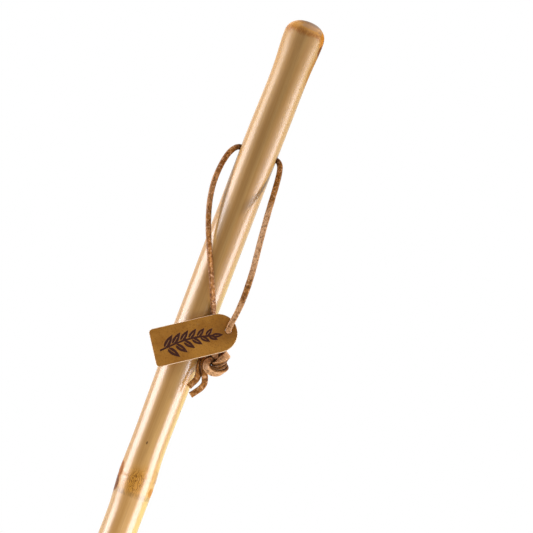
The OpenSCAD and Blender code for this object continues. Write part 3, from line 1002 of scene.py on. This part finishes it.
def lace_leather():
    """Brown lace leather, rubbed pale in specks and dark along its cut edges, with painted shade where the
    lace crowds another turn or the cane.
    """
    made = Surface("lace_leather")
    speck = made.noise(LACE_SPECK_W, 4, rough=0.65)
    cloud = made.noise(LACE_CLOUD_W, 3)
    grain = made.noise(LACE_GRAIN_W, 3)
    colour = made.mix(made.step(cloud, 0.35, 0.65), LACE_DEEP, LACE_TAN)
    pale = made.times(made.number("flesh"), made.step(cloud, 0.3, 0.55, to_low=0.5))
    colour = made.mix(pale, colour, LACE_FLESH)
    colour = made.mix(made.step(speck, 0.53, 0.64, to_high=0.85), colour, LACE_SPECK)
    colour = made.mix(made.fall(speck, 0.36, 0.48, 0.7), colour, LACE_STAIN)
    colour = made.mix(made.step(made.number("edge"), 0.8, 1.0, to_high=0.4), colour, LACE_EDGE)
    # painted shade, darkest where the lace crowds another turn of itself or the cane
    colour = made.mix(made.times(made.number("painted_shade"), 0.92), colour, LACE_PAINTED_SHADE)
    relief = made.bump(grain, LACE_GRAIN_RELIEF, 0.6, made.bump(speck, LACE_SPECK_RELIEF, 0.6))
    return made.finish(Base_Color=colour, Roughness=made.step(cloud, 0.3, 0.7, 0.42, 0.6), Normal=relief,
                       Specular_IOR_Level=0.18)


# Tag leather: widths and depths of its marks, and its colours
TAG_GRAIN_W = 0.9
TAG_FLECK_W = 1.8
TAG_CLOUD_W = 14
TAG_HOLE_SHADOW_SIZES = (14, 14, 14)
TAG_RELIEF = 0.1
TAG_DEEP = srgb(162, 106, 38)
TAG_TAN = srgb(186, 128, 50)
TAG_GRAIN = srgb(124, 76, 20)
TAG_FLECK = srgb(188, 138, 72)
TAG_HOLE_SHADOW = srgb(110, 66, 20)
TAG_STAMP = srgb(74, 40, 30)
TAG_RAW_EDGE = srgb(236, 204, 170)


def tag_leather():
    """Smooth saddle-tan leather with raw pale edges, a dark stamp, and a painted shadow of the lace around
    the hole.
    """
    made = Surface("tag_leather")
    grain = made.noise(TAG_GRAIN_W, 4)
    fleck = made.noise(TAG_FLECK_W, 3)
    cloud = made.noise(TAG_CLOUD_W, 3)
    colour = made.mix(made.step(cloud, 0.3, 0.7), TAG_DEEP, TAG_TAN)
    colour = made.mix(made.step(grain, 0.48, 0.68, to_high=0.5), colour, TAG_GRAIN)
    colour = made.mix(made.step(fleck, 0.56, 0.72, to_high=0.35), colour, TAG_FLECK)
    # painted shadow: the leather is darker around the hole, where the lace shades it
    hole_shadow = made.spot(TAG_HOLE, TAG_HOLE_SHADOW_SIZES, 0.2)
    colour = made.mix(made.times(hole_shadow, 0.45), colour, TAG_HOLE_SHADOW)
    colour = made.mix(made.step(made.number("stamped"), 0.15, 0.6), colour, TAG_STAMP)
    colour = made.mix(made.step(made.number("rim"), 0.2, 0.7), colour, TAG_RAW_EDGE)
    return made.finish(Base_Color=colour, Roughness=made.step(cloud, 0.3, 0.7, 0.45, 0.6),
                       Normal=made.bump(grain, TAG_RELIEF, 0.5), Specular_IOR_Level=0.14)


# Rubber and steel: widths and depths of their marks, and their colours
TIP_GRAIN_W = 0.6
TIP_CLOUD_W = 12
TIP_RELIEF = 0.08
TIP_DUST_H = 20
TIP_BLACK = srgb(30, 30, 31)
TIP_GREY = srgb(44, 43, 43)
TIP_DUST = srgb(92, 86, 78)
STEEL_BRUSH_W = 0.3
STEEL_STRETCH = (1, 0.06, 1)
STEEL_RELIEF = 0.03
STEEL_DARK = srgb(150, 150, 148)
STEEL_PALE = srgb(198, 198, 196)


def tip_rubber():
    """Matt black rubber, scuffed grey towards the ground."""
    made = Surface("tip_rubber")
    grain = made.noise(TIP_GRAIN_W, 4)
    cloud = made.noise(TIP_CLOUD_W, 4)
    low_down = made.step(made.split()[2], 0, TIP_DUST_H, 0.8, 0.08)
    dusty = made.times(low_down, made.step(cloud, 0.35, 0.7))
    colour = made.mix(made.step(cloud, 0.3, 0.7), TIP_BLACK, TIP_GREY)
    colour = made.mix(dusty, colour, TIP_DUST)
    return made.finish(Base_Color=colour, Roughness=made.step(grain, 0.3, 0.7, 0.62, 0.82),
                       Normal=made.bump(grain, TIP_RELIEF, 0.5))


def washer_steel():
    """Brushed zinc-plated steel."""
    made = Surface("washer_steel")
    brushed = made.noise(STEEL_BRUSH_W, 3, STEEL_STRETCH)
    colour = made.mix(brushed, STEEL_DARK, STEEL_PALE)
    return made.finish(Base_Color=colour, Metallic=1.0, Roughness=made.step(brushed, 0.3, 0.7, 0.28, 0.46),
                       Normal=made.bump(brushed, STEEL_RELIEF, 0.4))


def dress(node, material):
    """A better finish on a solid that stays."""
    found = frame["nodes"][node]
    found.data.materials.clear()
    found.data.materials.append(material)


# Stage
FLOOR_R = 3000
FLOOR_SIDES = 96
FLOOR_CLOUD_W = 400
FLOOR_DEEP = srgb(242, 242, 241)
FLOOR_PALE = srgb(247, 247, 246)
# Flags by their corners: behind the camera, beyond the crown, and overhead
FLAGS = {
    "front_flag": [(-2000, -2700, 0), (2000, -2700, 0), (2000, -2700, 3500), (-2000, -2700, 3500)],
    "right_flag": [(1520, 490, 1430), (410, 1550, 1430), (410, 1550, 2600), (1520, 490, 2600)],
    "top_flag": [(-2500, -2600, 2800), (150, -2600, 2800), (150, 1500, 2800), (-2500, 1500, 2800)]}
FLAG_CLOUD_W = 300
FLAG_DEEP = srgb(40, 40, 40)
FLAG_PALE = srgb(48, 48, 48)
MATT = 0.9
# Lights: the fill, and the strips of the two tall softboxes, which only the gloss sees, as low and high
# edges in metres, an azimuth, half of the spread, and a radiance
FILL_LEVEL = 0.42
STRIP_AWAY_M = 1.2
STRIP_COLOUR = (0.86, 0.9, 1.0)
STRIPS = {
    "left_box": (
        (0.74, 0.92, -79, 19, 13), (0.92, 0.985, -75, 18, 15), (0.985, 1.2, -83, 22.5, 13.5),
        (1.2, 1.27, -83, 17, 11.5), (1.27, 1.33, -84, 17, 8), (1.33, 1.41, -89, 16, 8),
        (1.41, 1.8, -87, 16, 4)),
    "right_box": (
        (0.74, 0.9, 72, 19, 14), (0.9, 1.1, 72, 19, 16), (1.1, 1.2, 78, 15, 14), (1.2, 1.27, 85, 13, 12),
        (1.27, 1.33, 78, 14, 8), (1.33, 1.41, 92, 11, 9.5), (1.41, 1.8, 84, 12, 4.6))}
# Softboxes that the gloss doesn't see: an azimuth, a distance and a height in metres, the height of their
# aim, a size and a radiance
GLOWS = {
    "left_glow": (-102, 1.0, 1.2, 1.2, (0.12, 0.25), 98.0),
    "right_glow": (92, 1.0, 1.55, 1.25, (0.1, 0.2), 146.0),
    "front_glow": (22, 0.25, 0.95, 0.95, (0.2, 0.1), 7.6),
    "high_glow": (-30, 0.5, 1.5, 1.35, (0.2, 0.1), 6.5),
    "top_glow": (-110, 0.4, 2.2, 1.35, (0.4, 0.4), 9.0)}
# Large softboxes: a place and an aim in metres, a size, a radiance, and whether the gloss sees them
LARGE_BOXES = {
    "top_box": ((0.5, 1.0, 2.5), (0, 0, 1.38), (0.9, 0.7), 1.6, True),
    "back_box": ((0, 2.2, 1.4), (0, 0, 1.0), (0.6, 1.8), 2.0, False)}


def make_floor():
    """A pale round floor under the staff."""
    turn = circle(FLOOR_SIDES)
    ring = np.stack([np.cos(turn), np.sin(turn), 0 * turn], 1) * FLOOR_R
    floor = new_piece("floor", ring, [tuple(range(FLOOR_SIDES))])
    made = Surface("floor")
    shade = made.mix(made.noise(FLOOR_CLOUD_W, 2), FLOOR_DEEP, FLOOR_PALE)
    floor.data.materials.append(made.finish(Base_Color=shade, Roughness=MATT, Specular_IOR_Level=0.0))


def make_world():
    """A white surround for what the camera and the gloss see, and a softer grey light on the object."""
    world = bpy.data.worlds.new("studio")
    bpy.context.scene.world = world
    world.use_nodes = True
    nodes = world.node_tree.nodes
    links = world.node_tree.links
    seen = nodes.new("ShaderNodeLightPath")
    shown = seen.outputs["Is Camera Ray"]
    for kind in ("Is Glossy Ray", "Is Transmission Ray"):
        either = nodes.new("ShaderNodeMath")
        either.operation = "MAXIMUM"
        links.new(shown, either.inputs[0])
        links.new(seen.outputs[kind], either.inputs[1])
        shown = either.outputs[0]
    level = nodes.new("ShaderNodeMapRange")
    level.inputs["To Min"].default_value = FILL_LEVEL
    level.inputs["To Max"].default_value = 1.0
    links.new(shown, level.inputs["Value"])
    background = nodes["Background"]
    background.inputs["Color"].default_value = (1, 1, 1, 1)
    links.new(level.outputs[0], background.inputs["Strength"])


def make_flag(name, corners):
    """A black panel, which only the gloss sees, so that the varnish stays clear there."""
    flag = new_piece(name, corners, [(0, 3, 2, 1)])
    made = Surface(name)
    shade = made.mix(made.noise(FLAG_CLOUD_W, 2), FLAG_DEEP, FLAG_PALE)
    flag.data.materials.append(made.finish(Base_Color=shade, Roughness=MATT))
    for ray in ("camera", "diffuse", "transmission", "shadow"):
        setattr(flag, f"visible_{ray}", False)


def make_light(name, place, aim, size, radiance, colour=(1, 1, 1), gloss=True, glow=True):
    """A rectangular softbox at a place in metres, of a size in metres, that faces an aim."""
    light = bpy.data.lights.new(name, "AREA")
    light.shape = "RECTANGLE"
    light.size, light.size_y = size
    light.color = colour
    light.energy = radiance * math.pi * size[0] * size[1]
    made = bpy.data.objects.new(name, light)
    bpy.context.scene.collection.objects.link(made)
    made.location = place
    made.rotation_euler = (Vector(aim) - Vector(place)).to_track_quat("-Z", "Y").to_euler()
    made.visible_camera = False
    made.visible_glossy = gloss
    made.visible_diffuse = glow


def from_azimuth(azimuth, away):
    """A place at an azimuth around the staff, where 0 is the camera's side and 90 is +X."""
    turn = math.radians(azimuth)
    return Vector((math.sin(turn), -math.cos(turn), 0)) * away


def make_strips(name, strips):
    """A tall softbox in strips, which only the gloss sees."""
    for k, (low, high, azimuth, spread, radiance) in enumerate(strips):
        height = Vector((0, 0, (low + high) / 2))
        width = 2 * STRIP_AWAY_M * math.tan(math.radians(spread))
        place = from_azimuth(azimuth, STRIP_AWAY_M) + height
        make_light(f"{name}_{k}", place, height, (width, high - low), radiance, STRIP_COLOUR, glow=False)


def make_lights():
    """The strips, the glows and the large softboxes."""
    for name, strips in STRIPS.items():
        make_strips(name, strips)
    for name, (azimuth, away, height, aim, size, radiance) in GLOWS.items():
        place = from_azimuth(azimuth, away) + Vector((0, 0, height))
        make_light(name, place, (0, 0, aim), size, radiance, gloss=False)
    for name, (place, aim, size, radiance, gloss) in LARGE_BOXES.items():
        make_light(name, place, aim, size, radiance, gloss=gloss)


make_camera()
lace_pieces = make_lace()
tag_piece = make_tag()
make_cane()
dress("rubber_tip", tip_rubber())
dress("tip_washer", washer_steel())
make_floor()
make_world()
for flag_name, flag_corners in FLAGS.items():
    make_flag(flag_name, flag_corners)
make_lights()
bpy.context.scene.view_settings.view_transform = "Standard"
